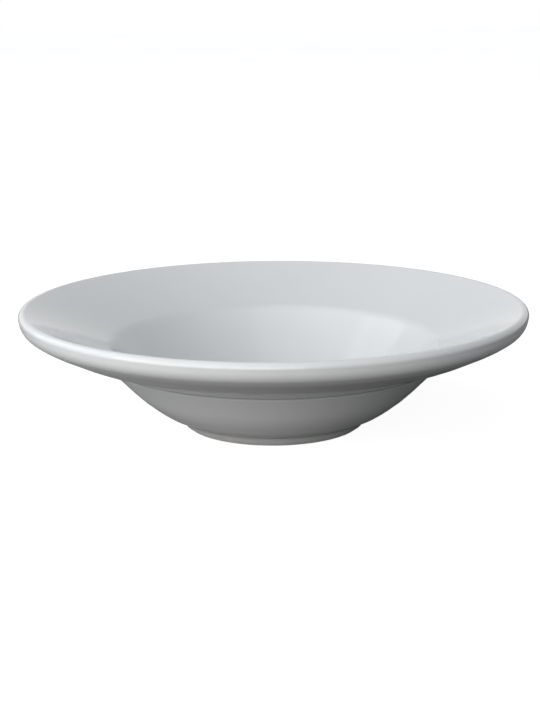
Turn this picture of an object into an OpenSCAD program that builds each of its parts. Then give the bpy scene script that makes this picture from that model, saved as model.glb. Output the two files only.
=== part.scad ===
// Wide-rimmed pasta bowl in thick, fully glazed porcelain.
// The bowl is a solid of revolution about Z and stands on its foot ring at z = 0.
// Its outline is a chain of corners, each one turned with its own radius.
// The corners are those of the bare porcelain; rim_d, bowl_h and floor_z are measured over the glaze.
// The glaze is a skin of even thickness over that outline, broken at the dry foot.

/* [Rim] */
// Diameter over the glazed lip
rim_d = 230; // [220:1:250]
// Height of the glazed lip above the table
bowl_h = 55.5; // [52:0.5:62]
// Radius over the top of the lip
lip_top_r = 2; // [1.5:0.1:2]
// Distance in from the rim to the lower corner of the lip's side
lip_side_in = 0.8; // [0.3:0.1:1]
// Depth of that corner below the top of the lip
lip_side_drop = 6.4; // [6.2:0.1:7.2]
// Radius at that corner
lip_side_r = 6.6; // [2:0.1:7.2]
// Distance in from the rim to the corner under the lip
under_in = 5.7; // [5:0.1:8]
// Depth of that corner below the top of the lip
under_drop = 9.9; // [9:0.1:11]
// Radius at that corner
under_r = 34; // [10:1:34]
// Distance in from the rim to the bend under the flange
bend_in = 21.4; // [18:0.1:25]
// Depth of that bend below the top of the lip
bend_drop = 17.5; // [17:0.1:18.2]
// Radius of the bend under the flange
bend_r = 40; // [10:1:55]

/* [Well] */
// Diameter of the edge where the flange drops into the well
well_d = 149; // [140:1:156]
// Depth of the well's edge below the top of the lip
well_edge_drop = 16.4; // [14:0.1:18.5]
// Radius that rolls the flange over into the well
well_edge_r = 10; // [3:0.5:20]
// Diameter of the floor, measured where the well's wall would meet it
floor_d = 99; // [80:1:108]
// Height of the floor above the table
floor_z = 9.8; // [8.5:0.1:12]
// Radius between the well's wall and its floor
floor_r = 28; // [5:1:40]

/* [Outer wall] */
// Diameter at the corner where the cove meets the underside of the flange
cove_d = 161; // [159:0.2:170]
// Depth of that corner below the top of the lip
cove_drop = 20.4; // [19.8:0.1:21.4]
// Radius at that corner
cove_r = 4; // [1:0.5:7.5]
// Diameter at the crease between the cove and the wall
crease_d = 154.4; // [152:0.1:156.5]
// Depth of the crease below the top of the lip
crease_drop = 23.2; // [22.7:0.1:24.2]
// Width of the crease
crease_w = 2.4; // [2.4:0.1:3.5]
// Depth of the crease, cut square to the wall
crease_cut = 0.3; // [0.1:0.05:0.3]
// Radius inside and beside the crease
crease_r = 2.2; // [0.8:0.1:2.4]
// Diameter at the middle corner of the wall
wall_d = 122.4; // [120:0.2:125]
// Height of that corner above the table
wall_z = 15.5; // [14.5:0.5:16.5]
// Radius at that corner
wall_r = 75; // [20:5:75]
// Diameter at the belly, where the wall turns in towards the foot
belly_d = 101.8; // [99:0.2:105]
// Height of the belly above the table
belly_z = 8; // [7:0.1:9]
// Radius of the belly
belly_r = 30; // [5:1:30]

/* [Foot ring] */
// Diameter of the foot where it leaves the wall
foot_top_d = 88; // [82:0.2:92]
// Height of the foot on its outside
foot_h = 5; // [4:0.1:6]
// Radius in the corner between the foot and the wall
foot_join_r = 1.2; // [0.8:0.1:2]
// Outer diameter of the face that the bowl stands on
rest_d = 79; // [75.5:0.5:81]
// Width of that face
rest_w = 2.4; // [1.5:0.1:4]
// Radius on both edges of that face
rest_edge_r = 1; // [0.4:0.1:1.5]
// Diameter of the recess inside the foot, at its ceiling
recess_d = 68; // [60:0.5:70]
// Height of the recess
recess_h = 4.3; // [3:0.1:5]
// Radius between the recess's side and its ceiling
recess_r = 1.8; // [0.8:0.1:3]

/* [Glaze] */
// Thickness of the fired glaze
glaze_t = 0.4; // [0.2:0.05:0.6]
// Height of the wiped, dry band on both sides of the foot
dry_h = 1.6; // [1.4:0.1:2.2]

/* [Smoothness] */
// Turn between neighbouring points of a round stretch, in degrees
arc_step = 4; // [2:1:8]
// Number of segments round the bowl
round_fn = 180; // [60:20:240]

/* [Hidden] */

// The bare porcelain lies one glaze thickness inside the finished lip
lip_rad = rim_d/2 - glaze_t;
lip_z = bowl_h - glaze_t;

// A corner of the outline: radius from the axis, height, and the radius that turns it
function corner(rad, z, turn_r = 0) = [rad, z, turn_r];

function unit(v) = v / norm(v);
function right_of(v) = [v[1], -v[0]];
function spot(c) = [c[0], c[1]];
function slide(a, b, share) = a + (b - a)*share;
function across(v, w) = v[0]*w[1] - v[1]*w[0];

// Direction from a spot along a line that touches a circle: left past it, or right for a negative radius
function grazing(from, centre, r) =
    let(to = centre - from, a = atan2(to[1], to[0]) + asin(r/norm(to)))
    [cos(a), sin(a)];

// Distance from a corner to where its arc starts, at most half the shorter side beside it
function setback(a, c, b, half) =
    min(c[2]*tan(half), min(norm(spot(a) - spot(c)), norm(spot(b) - spot(c)))/2);

// Points of one turned corner, each with its outward normal
function turned(a, c, b) =
    let(go = unit(spot(c) - spot(a)), leave = unit(spot(b) - spot(c)),
        side = sign(across(go, leave)),
        turn = acos(min(1, go*leave)), back = setback(a, c, b, turn/2),
        arc_r = back/tan(turn/2), steps = max(2, ceil(turn/arc_step)),
        centre = spot(c) - go*back - right_of(go)*side*arc_r)
    [for (i = [0:steps])
        let(s = side*turn*i/steps, out = right_of(go),
            n = [out[0]*cos(s) - out[1]*sin(s), out[0]*sin(s) + out[1]*cos(s)])
        [centre + n*side*arc_r, n]];

// A chain of corners as points with normals, its two ends left as they are
function chain(c) =
    let(last = len(c) - 1)
    concat(
        [[spot(c[0]), right_of(unit(spot(c[1]) - spot(c[0])))]],
        [for (i = [1:last - 1]) each turned(c[i - 1], c[i], c[i + 1])],
        [[spot(c[last]), right_of(unit(spot(c[last]) - spot(c[last - 1])))]]);

function points(path) = [for (p = path) p[0]];
function points_out(path, by) = [for (p = path) p[0] + p[1]*by];
function backwards(list) = [for (i = [len(list) - 1:-1:0]) list[i]];

// Foot ring, in the order centre of the recess, rest face, outer wall
rest_out = [rest_d/2, 0];
rest_in = [rest_d/2 - rest_w, 0];
foot_top = [foot_top_d/2, foot_h];
recess_top = [recess_d/2, recess_h];
dry_in = slide(rest_in, recess_top, dry_h/recess_h);
dry_out = slide(rest_out, foot_top, dry_h/foot_h);

// Crease, sunk square into the wall just below the cove
belly = [belly_d/2, belly_z];
wall = [wall_d/2, wall_z];
crease = [crease_d/2, lip_z - crease_drop];
wall_dir = unit(crease - wall);
crease_low = crease - wall_dir*crease_w;
crease_floor = crease - wall_dir*crease_w/2 - right_of(wall_dir)*crease_cut;

// The flange and the side of the lip both just touch the circle that rounds the lip over,
// and the lip's corner lies where their two lines cross
well_edge = [well_d/2, lip_z - well_edge_drop];
lip_side = [lip_rad - lip_side_in, lip_z - lip_side_drop];
lip_centre = [lip_rad - lip_top_r, lip_z - lip_top_r];
flange_dir = grazing(well_edge, lip_centre, lip_top_r);
side_dir = grazing(lip_side, lip_centre, -lip_top_r);
lip_corner = well_edge + flange_dir*across(lip_side - well_edge, side_dir)/across(flange_dir, side_dir);

recess_path = chain([
    corner(0, recess_h),
    corner(recess_top[0], recess_h, recess_r),
    corner(dry_in[0], dry_in[1])]);

dry_path = chain([
    corner(dry_in[0], dry_in[1]),
    corner(rest_in[0], 0, rest_edge_r),
    corner(rest_out[0], 0, rest_edge_r),
    corner(dry_out[0], dry_out[1])]);

main_path = chain([
    corner(dry_out[0], dry_out[1]),
    corner(foot_top[0], foot_top[1], foot_join_r),
    corner(belly[0], belly[1], belly_r),
    corner(wall[0], wall[1], wall_r),
    corner(crease_low[0], crease_low[1], crease_r),
    corner(crease_floor[0], crease_floor[1], crease_r),
    corner(crease[0], crease[1], crease_r),
    corner(cove_d/2, lip_z - cove_drop, cove_r),
    corner(lip_rad - bend_in, lip_z - bend_drop, bend_r),
    corner(lip_rad - under_in, lip_z - under_drop, under_r),
    corner(lip_side[0], lip_side[1], lip_side_r),
    corner(lip_corner[0], lip_corner[1], lip_top_r),
    corner(well_edge[0], well_edge[1], well_edge_r),
    corner(floor_d/2, floor_z - glaze_t, floor_r),
    corner(0, floor_z - glaze_t)]);

module revolve(outline) {
    rotate_extrude($fn = round_fn) polygon(outline);
}

// A skin of glaze over one stretch of the outline
module glaze_over(path) {
    revolve(concat(points(path), backwards(points_out(path, glaze_t))));
}

// The fired porcelain: rim, well and foot ring in one piece
module porcelain_body() {
    color("linen")
        revolve(concat(points(recess_path), points(dry_path), points(main_path)));
}

// Glaze from the dry band outside the foot, over the lip, to the middle of the floor
module glaze_coat() {
    color("whitesmoke") glaze_over(main_path);
}

// Glaze inside the foot ring, cut off from the rest by the dry face
module foot_recess_glaze() {
    color("gainsboro") glaze_over(recess_path);
}

porcelain_body();
glaze_coat();
foot_recess_glaze();
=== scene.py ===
# A wide-rimmed pasta bowl in thick white porcelain, thrown with Geometry Nodes and glazed with nodes.
# Lengths below are in millimetres, as on the maker's drawing; SCALE turns them into metres.
import bpy
import math
from mathutils import Matrix, Vector


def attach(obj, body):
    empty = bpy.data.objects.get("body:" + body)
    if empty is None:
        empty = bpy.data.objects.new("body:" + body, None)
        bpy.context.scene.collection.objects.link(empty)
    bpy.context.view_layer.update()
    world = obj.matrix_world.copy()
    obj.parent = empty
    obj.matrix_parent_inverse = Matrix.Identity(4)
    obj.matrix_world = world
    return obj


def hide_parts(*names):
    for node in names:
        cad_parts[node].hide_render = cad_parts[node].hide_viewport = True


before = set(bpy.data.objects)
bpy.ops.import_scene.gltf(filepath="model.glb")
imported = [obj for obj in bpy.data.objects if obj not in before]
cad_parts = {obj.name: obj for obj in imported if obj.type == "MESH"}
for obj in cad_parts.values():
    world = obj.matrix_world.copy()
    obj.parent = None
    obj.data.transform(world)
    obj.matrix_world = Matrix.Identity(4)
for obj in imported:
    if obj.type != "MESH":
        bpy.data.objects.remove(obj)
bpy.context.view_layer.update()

SCALE = 0.001
ROOT = "root"

# Outline of the fired porcelain, as [radius, height] corners with the radius that turns each one
RIM_D = 230.0
BOWL_H = 55.5
LIP_TOP_R = 2.0
LIP_SIDE_IN = 0.8
LIP_SIDE_DROP = 6.4
LIP_SIDE_R = 6.6
UNDER_IN = 5.7
UNDER_DROP = 9.9
UNDER_R = 34.0
BEND_IN = 21.4
BEND_DROP = 17.5
BEND_R = 40.0
WELL_D = 149.0
WELL_EDGE_DROP = 16.4
WELL_EDGE_R = 10.0
FLOOR_D = 99.0
FLOOR_Z = 9.8
FLOOR_R = 28.0
COVE_D = 161.0
COVE_DROP = 20.4
COVE_R = 4.0
CREASE_D = 154.4
CREASE_DROP = 23.2
CREASE_W = 2.4
CREASE_CUT = 0.3
CREASE_R = 2.2
WALL_D = 122.4
WALL_Z = 15.5
WALL_R = 75.0
BELLY_D = 101.8
BELLY_Z = 8.0
BELLY_R = 30.0
FOOT_TOP_D = 88.0
FOOT_H = 5.0
FOOT_JOIN_R = 1.2
REST_D = 79.0
REST_W = 2.4
REST_EDGE_R = 1.0
RECESS_D = 68.0
RECESS_H = 4.3
RECESS_R = 1.8
GLAZE_T = 0.4
DRY_H = 1.6

# Fineness of the thrown meshes, as the turn and the distance between points: where it shows, and inside
SHOWN = (math.radians(7.0), 15.0)
HIDDEN = (math.radians(24.0), 100.0)
TURN_SEGMENTS = 720
WELD = 0.01
MATCH_PLACES = 3
ON_AXIS = 0.01

# The glaze: sizes of its patterns, where it pools and is painted darker as shade, and where it runs out
CLOUD_SIZE = 22.0
WAVE_SIZE = 26.0
WAVE_DEPTH = 0.06
PEEL_SIZE = 1.6
PEEL_DEPTH = 0.0008
# Rings painted darker in the crease and the foot's corner: partly pooled glaze, partly painted shade; the
# wide foot ring paints shade low on the wall
CREASE_POOL_AND_SHADE_IN = 0.9
CREASE_POOL_AND_SHADE_DROP = 0.8
FOOT_POOL_AND_SHADE_DROP = 0.1
POOL_AND_SHADE_EDGE = 1.6
POOL_AND_SHADE_WIDE = 5.0
CREASE_POOL_AND_SHADE_DARK = 0.6
FOOT_POOL_AND_SHADE_DARK = 0.35
FOOT_POOL_AND_SHADE_EDGE_DARK = 0.3
RUN_OUT_BELOW = 0.1
RUN_OUT_ABOVE = 0.5
RUN_OUT_WANDER = 0.9
RUN_OUT_SIZE = 5.0

# The dry porcelain: sizes of its patterns, and the rubbed band above the surface it stands on
CLAY_FLECK_SIZE = 0.9
GRIT_SIZE = 0.35
GRIT_DEPTH = 0.03
RUB_SIZE = 3.0
RUB_SHARE = 0.7
RUB_FULL_H = 0.05
RUB_END_H = 0.5


# Camera

# The photograph's frame, and where the bowl's aim point lies in it
IMAGE_W = 540
IMAGE_H = 720
AIM_X = 273.8
AIM_Y = 373.2
AIM_HEIGHT = 23.0
CAMERA_DISTANCE = 728.4
CAMERA_ELEVATION = math.radians(14.05)
CAMERA_ROLL = math.radians(0.35)
FOCAL_PX = 1584.1
SENSOR_MM = 36.0


def make_camera():
    """The photograph's viewpoint: in front and a little above the rim, with the bowl a little low."""
    lens = FOCAL_PX * SENSOR_MM / IMAGE_H
    data = bpy.data.cameras.new("photo_camera")
    data.sensor_width = SENSOR_MM
    data.lens = lens
    camera = bpy.data.objects.new("photo_camera", data)
    bpy.context.scene.collection.objects.link(camera)
    target = Vector((0.0, 0.0, AIM_HEIGHT * SCALE))
    back = Vector((0.0, -math.cos(CAMERA_ELEVATION), math.sin(CAMERA_ELEVATION)))
    level = (-back).to_track_quat("-Z", "Y").to_matrix()
    # Direction of the aim point in the camera's own axes
    seen = Vector(((AIM_X - IMAGE_W / 2) / FOCAL_PX, (IMAGE_H / 2 - AIM_Y) / FOCAL_PX, -1.0))
    swing = Vector((0.0, 0.0, -1.0)).rotation_difference(seen).to_matrix()
    roll = Matrix.Rotation(CAMERA_ROLL, 3, "Z")
    turn = level @ (swing @ roll).inverted()
    camera.matrix_world = Matrix.Translation(target + back * CAMERA_DISTANCE * SCALE) @ turn.to_4x4()
    bpy.context.scene.camera = camera


make_camera()


# Outline

def corner(rad, z, turn_r=0.0):
    """One corner of the outline, with the radius that turns it."""
    return Vector((rad, z)), turn_r


def right_of(v):
    """A direction turned a quarter to the right, which is outwards along the outline."""
    return Vector((v.y, -v.x))


def across(v, w):
    """How far w leans to the left of v, as the cross product of the two."""
    return v.x * w.y - v.y * w.x


def grazing(start, centre, r):
    """Direction from a spot along a line that touches a circle, which it passes on the left.

    With a negative radius it passes on the right.
    """
    to = centre - start
    angle = math.atan2(to.y, to.x) + math.asin(r / to.length)
    return Vector((math.cos(angle), math.sin(angle)))


def turned(a, c, b, turn_r, arc_step):
    """Points of one rounded corner, each with its outward normal."""
    go, leave = (c - a).normalized(), (b - c).normalized()
    side = math.copysign(1.0, across(go, leave))
    turn = go.angle(leave)
    back = min(turn_r * math.tan(turn / 2), (a - c).length / 2, (b - c).length / 2)
    arc_r = back / math.tan(turn / 2)
    steps = max(2, math.ceil(turn / arc_step))
    centre = c - go * back - right_of(go) * side * arc_r
    arc = []
    for i in range(steps + 1):
        n = right_of(go).copy()
        n.rotate(Matrix.Rotation(side * turn * i / steps, 2))
        arc.append((centre + n * side * arc_r, n))
    return arc


def chain(corners, fineness):
    """A chain of corners as points with normals, with short steps along its straight runs."""
    arc_step, run_step = fineness
    spots = [c[0] for c in corners]
    first = right_of((spots[1] - spots[0]).normalized())
    last = right_of((spots[-1] - spots[-2]).normalized())
    rough = [(spots[0], first)]
    for i in range(1, len(spots) - 1):
        rough += turned(spots[i - 1], spots[i], spots[i + 1], corners[i][1], arc_step)
    rough.append((spots[-1], last))
    path = [rough[0]]
    for (p, n), (q, m) in zip(rough, rough[1:]):
        steps = max(1, math.ceil((q - p).length / run_step))
        path += [(p.lerp(q, i / steps), n.lerp(m, i / steps).normalized()) for i in range(1, steps + 1)]
    return path


def bowl_paths(fineness):
    """The recess, the dry foot and the rest of the bowl, in order along the porcelain's outline."""
    lip_rad = RIM_D / 2 - GLAZE_T
    lip_z = BOWL_H - GLAZE_T
    rest_out = Vector((REST_D / 2, 0.0))
    rest_in = Vector((REST_D / 2 - REST_W, 0.0))
    foot_top = Vector((FOOT_TOP_D / 2, FOOT_H))
    recess_top = Vector((RECESS_D / 2, RECESS_H))
    dry_in = rest_in.lerp(recess_top, DRY_H / RECESS_H)
    dry_out = rest_out.lerp(foot_top, DRY_H / FOOT_H)
    belly = Vector((BELLY_D / 2, BELLY_Z))
    wall = Vector((WALL_D / 2, WALL_Z))
    crease = Vector((CREASE_D / 2, lip_z - CREASE_DROP))
    wall_dir = (crease - wall).normalized()
    crease_low = crease - wall_dir * CREASE_W
    crease_floor = crease - wall_dir * CREASE_W / 2 - right_of(wall_dir) * CREASE_CUT
    # The flange and the side of the lip both just touch the circle that rounds the lip over
    well_edge = Vector((WELL_D / 2, lip_z - WELL_EDGE_DROP))
    lip_side = Vector((lip_rad - LIP_SIDE_IN, lip_z - LIP_SIDE_DROP))
    lip_centre = Vector((lip_rad - LIP_TOP_R, lip_z - LIP_TOP_R))
    flange_dir = grazing(well_edge, lip_centre, LIP_TOP_R)
    side_dir = grazing(lip_side, lip_centre, -LIP_TOP_R)
    run = across(lip_side - well_edge, side_dir) / across(flange_dir, side_dir)
    lip_corner = well_edge + flange_dir * run
    recess = chain([
        corner(0.0, RECESS_H),
        corner(recess_top.x, RECESS_H, RECESS_R),
        corner(*dry_in)], fineness)
    dry = chain([
        corner(*dry_in),
        corner(*rest_in, REST_EDGE_R),
        corner(*rest_out, REST_EDGE_R),
        corner(*dry_out)], fineness)
    main = chain([
        corner(*dry_out),
        corner(*foot_top, FOOT_JOIN_R),
        corner(*belly, BELLY_R),
        corner(*wall, WALL_R),
        corner(*crease_low, CREASE_R),
        corner(*crease_floor, CREASE_R),
        corner(*crease, CREASE_R),
        corner(COVE_D / 2, lip_z - COVE_DROP, COVE_R),
        corner(lip_rad - BEND_IN, lip_z - BEND_DROP, BEND_R),
        corner(lip_rad - UNDER_IN, lip_z - UNDER_DROP, UNDER_R),
        corner(*lip_side, LIP_SIDE_R),
        corner(*lip_corner, LIP_TOP_R),
        corner(*well_edge, WELL_EDGE_R),
        corner(FLOOR_D / 2, FLOOR_Z - GLAZE_T, FLOOR_R),
        corner(0.0, FLOOR_Z - GLAZE_T)], fineness)
    return recess, dry, main


# Nodes

def add_node(tree, kind, inputs=None, **settings):
    """Adds a node, sets its properties, and sets or links its inputs by name or number."""
    node = tree.nodes.new(kind)
    for name, value in settings.items():
        setattr(node, name, value)
    for key, value in (inputs or {}).items():
        if isinstance(value, bpy.types.NodeSocket):
            tree.links.new(value, node.inputs[key])
        else:
            node.inputs[key].default_value = value
    return node


def linear(hex_colour):
    """An sRGB hex colour as the linear RGBA that the nodes take."""
    parts = [int(hex_colour[i:i + 2], 16) / 255 for i in (1, 3, 5)]
    return [c / 12.92 if c <= 0.04045 else ((c + 0.055) / 1.055) ** 2.4 for c in parts] + [1.0]


# Throwing: the outline is turned once round the axis, and the mesh is closed at its seam and poles

def wheel_tree():
    """Geometry Nodes that turn a chain of points about Z into a closed surface."""
    tree = bpy.data.node_groups.new("potters_wheel", "GeometryNodeTree")
    face = tree.interface
    face.new_socket("Outline", in_out="INPUT", socket_type="NodeSocketGeometry")
    face.new_socket("Segments", in_out="INPUT", socket_type="NodeSocketInt")
    face.new_socket("Weld", in_out="INPUT", socket_type="NodeSocketFloat")
    face.new_socket("Material", in_out="INPUT", socket_type="NodeSocketMaterial")
    face.new_socket("Bowl", in_out="OUTPUT", socket_type="NodeSocketGeometry")
    given = tree.nodes.new("NodeGroupInput").outputs
    count = add_node(tree, "GeometryNodeAttributeDomainSize", {"Geometry": given["Outline"]})
    # One column more than there are segments, which is welded onto the first
    around = add_node(tree, "ShaderNodeMath", {0: given["Segments"], 1: 1.0}, operation="ADD")
    grid = add_node(tree, "GeometryNodeMeshGrid", {
        "Vertices X": count.outputs["Point Count"],
        "Vertices Y": around.outputs[0]})
    index = add_node(tree, "GeometryNodeInputIndex").outputs[0]
    along = add_node(tree, "ShaderNodeMath", {0: index, 1: around.outputs[0]}, operation="DIVIDE")
    step = add_node(tree, "ShaderNodeMath", {0: along.outputs[0]}, operation="FLOOR")
    turn = add_node(tree, "ShaderNodeMath", {0: index, 1: around.outputs[0]}, operation="MODULO")
    share = add_node(tree, "ShaderNodeMath", {0: turn.outputs[0], 1: given["Segments"]}, operation="DIVIDE")
    angle = add_node(tree, "ShaderNodeMath", {0: share.outputs[0], 1: math.tau}, operation="MULTIPLY")
    place = add_node(tree, "GeometryNodeInputPosition").outputs[0]
    spot = add_node(tree, "GeometryNodeSampleIndex", {
        "Geometry": given["Outline"],
        "Index": step.outputs[0]}, data_type="FLOAT_VECTOR")
    tree.links.new(place, spot.inputs["Value"])
    swung = add_node(tree, "ShaderNodeVectorRotate", {
        "Vector": spot.outputs[0],
        "Angle": angle.outputs[0]}, rotation_type="Z_AXIS")
    put = add_node(tree, "GeometryNodeSetPosition", {
        "Geometry": grid.outputs["Mesh"],
        "Position": swung.outputs[0]})
    weld = add_node(tree, "GeometryNodeMergeByDistance", {
        "Geometry": put.outputs[0],
        "Distance": given["Weld"]})
    # The stretch on the axis between two poles welds into an edge without faces, which goes
    faces = add_node(tree, "GeometryNodeInputMeshEdgeNeighbors").outputs["Face Count"]
    loose = add_node(tree, "FunctionNodeCompare", {2: faces, 3: 0}, data_type="INT", operation="EQUAL")
    clean = add_node(tree, "GeometryNodeDeleteGeometry", {
        "Geometry": weld.outputs[0],
        "Selection": loose.outputs[0]}, domain="EDGE")
    outward = add_node(tree, "GeometryNodeFlipFaces", {"Mesh": clean.outputs[0]})
    smooth = add_node(tree, "GeometryNodeSetShadeSmooth", {"Geometry": outward.outputs[0]})
    real = add_node(tree, "GeometryNodeRealizeInstances", {"Geometry": smooth.outputs[0]})
    dressed = add_node(tree, "GeometryNodeSetMaterial", {
        "Geometry": real.outputs[0],
        "Material": given["Material"]})
    add_node(tree, "NodeGroupOutput", {"Bowl": dressed.outputs[0]})
    return tree


def set_input(modifier, name, value):
    """Sets a modifier's named input by its socket's identifier."""
    for item in modifier.node_group.interface.items_tree:
        if item.name == name and item.in_out == "INPUT":
            modifier[item.identifier] = value


def smooth_normals(mesh, outline):
    """Gives every vertex the outline's exact normal, so that reflections run clean round the bowl."""
    known = {(round(p.x, MATCH_PLACES), round(p.y, MATCH_PLACES)): n for p, n in outline}
    normals = []
    for vertex in mesh.vertices:
        x, y, z = vertex.co / SCALE
        rad = math.hypot(x, y)
        n = known.get((round(rad, MATCH_PLACES), round(z, MATCH_PLACES)))
        if n is None:
            n = min(outline, key=lambda spot: abs(spot[0].x - rad) + abs(spot[0].y - z))[1]
        out = (x / rad, y / rad) if rad > ON_AXIS else (0.0, 0.0)
        normals.append(Vector((n.x * out[0], n.x * out[1], n.y)).normalized())
    mesh.normals_split_custom_set_from_vertices(normals)


def throw(name, outline, material, tree):
    """Turns a closed outline of points with normals into one plain mesh object."""
    mesh = bpy.data.meshes.new(name + "_outline")
    mesh.from_pydata([(p.x * SCALE, 0.0, p.y * SCALE) for p, n in outline], [], [])
    rough = bpy.data.objects.new(name + "_outline", mesh)
    bpy.context.scene.collection.objects.link(rough)
    wheel = rough.modifiers.new("wheel", "NODES")
    wheel.node_group = tree
    set_input(wheel, "Segments", TURN_SEGMENTS)
    set_input(wheel, "Weld", WELD * SCALE)
    set_input(wheel, "Material", material)
    graph = bpy.context.evaluated_depsgraph_get()
    thrown = bpy.data.meshes.new_from_object(rough.evaluated_get(graph))
    bpy.data.objects.remove(rough)
    thrown.name = name
    smooth_normals(thrown, outline)
    piece = bpy.data.objects.new(name, thrown)
    bpy.context.scene.collection.objects.link(piece)
    return piece


def skin(shown, hidden):
    """The closed outline of the glaze on a stretch of porcelain: its gloss face and its fused face."""
    outer = [(p + n * GLAZE_T, n) for p, n in shown]
    inner = [(p, -n) for p, n in hidden]
    return outer + inner[::-1] + outer[:1]


# Materials

def surface_material(name):
    """A material with one shader, ready for its pattern."""
    material = bpy.data.materials.new(name)
    material.use_nodes = True
    tree = material.node_tree
    tree.nodes.clear()
    shader = add_node(tree, "ShaderNodeBsdfPrincipled")
    add_node(tree, "ShaderNodeOutputMaterial", {"Surface": shader.outputs[0]})
    return material, tree, shader


def in_millimetres(tree):
    """Object coordinates in millimetres, with the distance from the bowl's axis and the height."""
    place = add_node(tree, "ShaderNodeTexCoord").outputs["Object"]
    mm = add_node(tree, "ShaderNodeVectorMath", {0: place, "Scale": 1 / SCALE}, operation="SCALE").outputs[0]
    parts = add_node(tree, "ShaderNodeSeparateXYZ", {0: mm}).outputs
    flat = add_node(tree, "ShaderNodeCombineXYZ", {0: parts[0], 1: parts[1]})
    rad = add_node(tree, "ShaderNodeVectorMath", {0: flat.outputs[0]}, operation="LENGTH").outputs["Value"]
    return mm, rad, parts[2]


def pooled_and_shaded_rings():
    """Rings painted darker, partly for pooled glaze and partly as painted shade: radius, height, reach and
    how dark.
    """
    crease_rad = CREASE_D / 2 - CREASE_POOL_AND_SHADE_IN
    crease_z = BOWL_H - GLAZE_T - CREASE_DROP - CREASE_POOL_AND_SHADE_DROP
    foot_rad = FOOT_TOP_D / 2 + GLAZE_T
    foot_z = FOOT_H - FOOT_POOL_AND_SHADE_DROP
    return (
        (crease_rad, crease_z, POOL_AND_SHADE_EDGE, CREASE_POOL_AND_SHADE_DARK),
        (foot_rad, foot_z, POOL_AND_SHADE_WIDE, FOOT_POOL_AND_SHADE_DARK),
        (foot_rad, foot_z, POOL_AND_SHADE_EDGE, FOOT_POOL_AND_SHADE_EDGE_DARK))


def pooled_and_shaded(tree, colour, rad, height, pool_and_shade_ring):
    """The glaze's colour, painted darker on a ring as pooled glaze and painted shade, fading out within the
    ring's reach.
    """
    ring_rad, ring_z, reach, dark = pool_and_shade_ring
    out = add_node(tree, "ShaderNodeMath", {0: rad, 1: ring_rad}, operation="SUBTRACT")
    up = add_node(tree, "ShaderNodeMath", {0: height, 1: ring_z}, operation="SUBTRACT")
    off = add_node(tree, "ShaderNodeCombineXYZ", {0: out.outputs[0], 1: up.outputs[0]})
    far = add_node(tree, "ShaderNodeVectorMath", {0: off.outputs[0]}, operation="LENGTH")
    depth = add_node(tree, "ShaderNodeMapRange", {
        "Value": far.outputs["Value"],
        "From Min": 0.0,
        "From Max": reach,
        "To Min": dark,
        "To Max": 0.0}, interpolation_type="SMOOTHSTEP")
    # The dark colour of pooled glaze and painted shade
    return add_node(tree, "ShaderNodeMix", {
        0: depth.outputs[0],
        6: colour,
        7: linear("#8f969c")}, data_type="RGBA").outputs[2]


def run_out(tree, colour, mm, height):
    """The glaze's colour, thin and faintly warm below a line that wanders along the dry foot."""
    drift = add_node(tree, "ShaderNodeTexNoise", {"Vector": mm, "Scale": 1 / RUN_OUT_SIZE, "Detail": 2.0})
    wander = add_node(tree, "ShaderNodeMath", {0: drift.outputs[0], 1: RUN_OUT_WANDER}, operation="MULTIPLY")
    line = add_node(tree, "ShaderNodeMath", {0: height, 1: wander.outputs[0]}, operation="SUBTRACT")
    thin = add_node(tree, "ShaderNodeMapRange", {
        "Value": line.outputs[0],
        "From Min": DRY_H - RUN_OUT_BELOW,
        "From Max": DRY_H + RUN_OUT_ABOVE,
        "To Min": 1.0,
        "To Max": 0.0}, interpolation_type="SMOOTHSTEP")
    return add_node(tree, "ShaderNodeMix", {
        0: thin.outputs[0],
        6: colour,
        7: linear("#dedad2")}, data_type="RGBA").outputs[2]


def fired_waver(tree, mm):
    """The surface's tilt: slow waves, as molten glass leaves them, under a very faint fine peel."""
    slow = add_node(tree, "ShaderNodeTexNoise", {"Vector": mm, "Scale": 1 / WAVE_SIZE, "Detail": 1.0})
    waves = add_node(tree, "ShaderNodeBump", {
        "Height": slow.outputs[0],
        "Distance": WAVE_DEPTH * SCALE,
        "Strength": 1.0})
    fine = add_node(tree, "ShaderNodeTexNoise", {"Vector": mm, "Scale": 1 / PEEL_SIZE, "Detail": 1.0})
    peel = add_node(tree, "ShaderNodeBump", {
        "Height": fine.outputs[0],
        "Distance": PEEL_DEPTH * SCALE,
        "Strength": 1.0,
        "Normal": waves.outputs[0]})
    return peel.outputs[0]


def glossy_glaze():
    """Clear glaze fired over white porcelain.

    It has a hard, wet gloss over a slightly cool white, wavers a little as fired glass does,
    is painted darker in the crease and the foot's corner, as pooled glaze and as painted shade,
    and runs out thin and faintly warm at the dry foot.
    """
    material, tree, shader = surface_material("clear_glaze_on_porcelain")
    mm, rad, height = in_millimetres(tree)
    cloud = add_node(tree, "ShaderNodeTexNoise", {"Vector": mm, "Scale": 1 / CLOUD_SIZE, "Detail": 2.0})
    colour = add_node(tree, "ShaderNodeMix", {
        0: cloud.outputs[0],
        6: linear("#eef0f0"),
        7: linear("#ebedee")}, data_type="RGBA").outputs[2]
    # Painted shade and pooled glaze: the crease and the foot's corner are painted darker
    for pool_and_shade_ring in pooled_and_shaded_rings():
        colour = pooled_and_shaded(tree, colour, rad, height, pool_and_shade_ring)
    tree.links.new(run_out(tree, colour, mm, height), shader.inputs["Base Color"])
    tree.links.new(fired_waver(tree, mm), shader.inputs["Normal"])
    shader.inputs["Roughness"].default_value = 0.09
    shader.inputs["IOR"].default_value = 1.52
    return material


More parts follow.
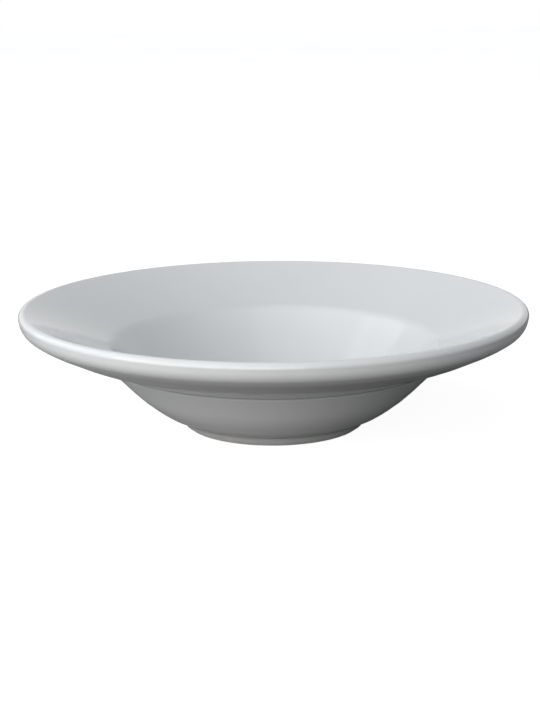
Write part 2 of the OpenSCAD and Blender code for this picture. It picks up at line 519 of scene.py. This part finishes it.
def rubbed(tree, colour, mm, height):
    """The clay's colour, greyed in patches low on the foot, where it has slid on tables."""
    patch = add_node(tree, "ShaderNodeTexNoise", {"Vector": mm, "Scale": 1 / RUB_SIZE, "Detail": 3.0})
    patches = add_node(tree, "ShaderNodeMath", {0: patch.outputs[0], 1: RUB_SHARE}, operation="MULTIPLY")
    low = add_node(tree, "ShaderNodeMapRange", {
        "Value": height,
        "From Min": RUB_FULL_H,
        "From Max": RUB_END_H,
        "To Min": 1.0,
        "To Max": 0.0}, interpolation_type="SMOOTHSTEP")
    worn = add_node(tree, "ShaderNodeMath", {0: low.outputs[0], 1: patches.outputs[0]}, operation="MULTIPLY")
    return add_node(tree, "ShaderNodeMix", {
        0: worn.outputs[0],
        6: colour,
        7: linear("#bdb9b1")}, data_type="RGBA").outputs[2]


def dry_porcelain():
    """Unglazed fired porcelain on the foot: matt, faintly warm and gritty, rubbed grey where it stands."""
    material, tree, shader = surface_material("dry_porcelain")
    mm, rad, height = in_millimetres(tree)
    fleck = add_node(tree, "ShaderNodeTexNoise", {"Vector": mm, "Scale": 1 / CLAY_FLECK_SIZE, "Detail": 4.0})
    colour = add_node(tree, "ShaderNodeMix", {
        0: fleck.outputs[0],
        6: linear("#e4e2dd"),
        7: linear("#dad6ce")}, data_type="RGBA").outputs[2]
    tree.links.new(rubbed(tree, colour, mm, height), shader.inputs["Base Color"])
    grit = add_node(tree, "ShaderNodeTexNoise", {"Vector": mm, "Scale": 1 / GRIT_SIZE, "Detail": 3.0})
    rough = add_node(tree, "ShaderNodeBump", {
        "Height": grit.outputs[0],
        "Distance": GRIT_DEPTH * SCALE,
        "Strength": 1.0})
    tree.links.new(rough.outputs[0], shader.inputs["Normal"])
    shader.inputs["Roughness"].default_value = 0.7
    return material


# The bowl

glaze = glossy_glaze()
bisque = dry_porcelain()
wheel = wheel_tree()
recess_face, foot_face, bowl_face = bowl_paths(SHOWN)
recess_back, foot_back, bowl_back = bowl_paths(HIDDEN)

body = throw("fired_porcelain", recess_back + foot_face[1:] + bowl_back[1:], bisque, wheel)
coat = throw("glaze_over_bowl", skin(bowl_face, bowl_back), glaze, wheel)
recess = throw("glaze_in_foot", skin(recess_face, recess_back), glaze, wheel)
for piece, node, slot in (
        (body, "porcelain_body", "porcelain"),
        (coat, "glaze_coat", "glaze"),
        (recess, "foot_recess_glaze", "glaze")):
    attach(piece, ROOT)
    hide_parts(node)


# Studio, in metres

PAPER_REACH = 6.0
# A hair below the foot's rest face, so that the two never flicker
PAPER_Z = -0.00005
PAPER_LIFT = 0.93
ROOM_LIGHT = 0.23
LAMP_DISTANCE = 1.5
LAMP_AIM = Vector((0.0, 0.0, 0.03))


def background_rays(tree):
    """One for rays that show the background, seen or reflected or through glass, and one for the camera's."""
    path = add_node(tree, "ShaderNodeLightPath").outputs
    shiny = add_node(tree, "ShaderNodeMath", {
        0: path["Is Glossy Ray"],
        1: path["Is Transmission Ray"]}, operation="MAXIMUM")
    shown = add_node(tree, "ShaderNodeMath", {
        0: path["Is Camera Ray"],
        1: shiny.outputs[0]}, operation="MAXIMUM")
    return shown.outputs[0], path["Is Camera Ray"]


def pale_floor():
    """White paper that keeps the bowl's shadow, and throws only a little light back up.

    The camera sees it lifted to white, so that the shadow stays faint. A reflection sees pale
    paper without that lift, because the lift would shine out of the dark below the bowl.
    """
    material = bpy.data.materials.new("pale_floor")
    material.use_nodes = True
    tree = material.node_tree
    tree.nodes.clear()
    shown, direct = background_rays(tree)
    tone = add_node(tree, "ShaderNodeMix", {
        0: direct,
        6: linear("#c0c0c0"),
        7: linear("#949494")}, data_type="RGBA")
    paper = add_node(tree, "ShaderNodeBsdfDiffuse", {"Color": tone.outputs[2]})
    glow = add_node(tree, "ShaderNodeMath", {0: direct, 1: PAPER_LIFT}, operation="MULTIPLY")
    lift = add_node(tree, "ShaderNodeEmission", {"Strength": glow.outputs[0]})
    white = add_node(tree, "ShaderNodeAddShader", {0: paper.outputs[0], 1: lift.outputs[0]})
    grey = add_node(tree, "ShaderNodeBsdfDiffuse", {"Color": linear("#2f2f2f")})
    mix = add_node(tree, "ShaderNodeMixShader", {0: shown, 1: grey.outputs[0], 2: white.outputs[0]})
    add_node(tree, "ShaderNodeOutputMaterial", {"Surface": mix.outputs[0]})
    return material


def make_floor():
    """The sheet of paper that the bowl stands on."""
    sides = ((-1, -1), (1, -1), (1, 1), (-1, 1))
    mesh = bpy.data.meshes.new("floor")
    mesh.from_pydata([(x * PAPER_REACH, y * PAPER_REACH, PAPER_Z) for x, y in sides], [], [(0, 1, 2, 3)])
    mesh.materials.append(pale_floor())
    floor = bpy.data.objects.new("floor", mesh)
    bpy.context.scene.collection.objects.link(floor)


def make_room():
    """White where the background shows, and a weak, even light from all round."""
    world = bpy.data.worlds.new("room")
    bpy.context.scene.world = world
    world.use_nodes = True
    tree = world.node_tree
    tree.nodes.clear()
    shown = background_rays(tree)[0]
    room = add_node(tree, "ShaderNodeBackground", {"Color": linear("#f6fbff"), "Strength": ROOM_LIGHT})
    white = add_node(tree, "ShaderNodeBackground", {"Color": linear("#ffffff"), "Strength": 1.0})
    mix = add_node(tree, "ShaderNodeMixShader", {0: shown, 1: room.outputs[0], 2: white.outputs[0]})
    add_node(tree, "ShaderNodeOutputWorld", {"Surface": mix.outputs[0]})


def softbox(name, azimuth, rise, width, height, brightness, tint):
    """A soft lamp that stands round the bowl and faces it; azimuth 0 is the camera's side, 90 the right."""
    turn, tilt = math.radians(azimuth), math.radians(rise)
    way = Vector((math.sin(turn) * math.cos(tilt), -math.cos(turn) * math.cos(tilt), math.sin(tilt)))
    data = bpy.data.lights.new(name, "AREA")
    data.shape = "RECTANGLE"
    data.size, data.size_y = width, height
    data.energy = math.pi * width * height * brightness
    data.color = linear(tint)[:3]
    lamp = bpy.data.objects.new(name, data)
    lamp.location = LAMP_AIM + way * LAMP_DISTANCE
    lamp.rotation_euler = (-way).to_track_quat("-Z", "Y").to_euler()
    bpy.context.scene.collection.objects.link(lamp)


make_floor()
make_room()
# One big soft window at the front left, brightest low down, with weaker light from the left and above
softbox("window", 332, 18, 2.6, 0.97, 2.2, "#fffefc")
softbox("window_below", 322, 5.5, 2.5, 0.26, 2.1, "#fffcf8")
softbox("left_light", 262, 26, 1.73, 1.3, 0.9, "#f2f7ff")
softbox("top_light", 285, 72, 1.4, 1.3, 0.5, "#f3f8ff")
bpy.context.scene.view_settings.view_transform = "Standard"
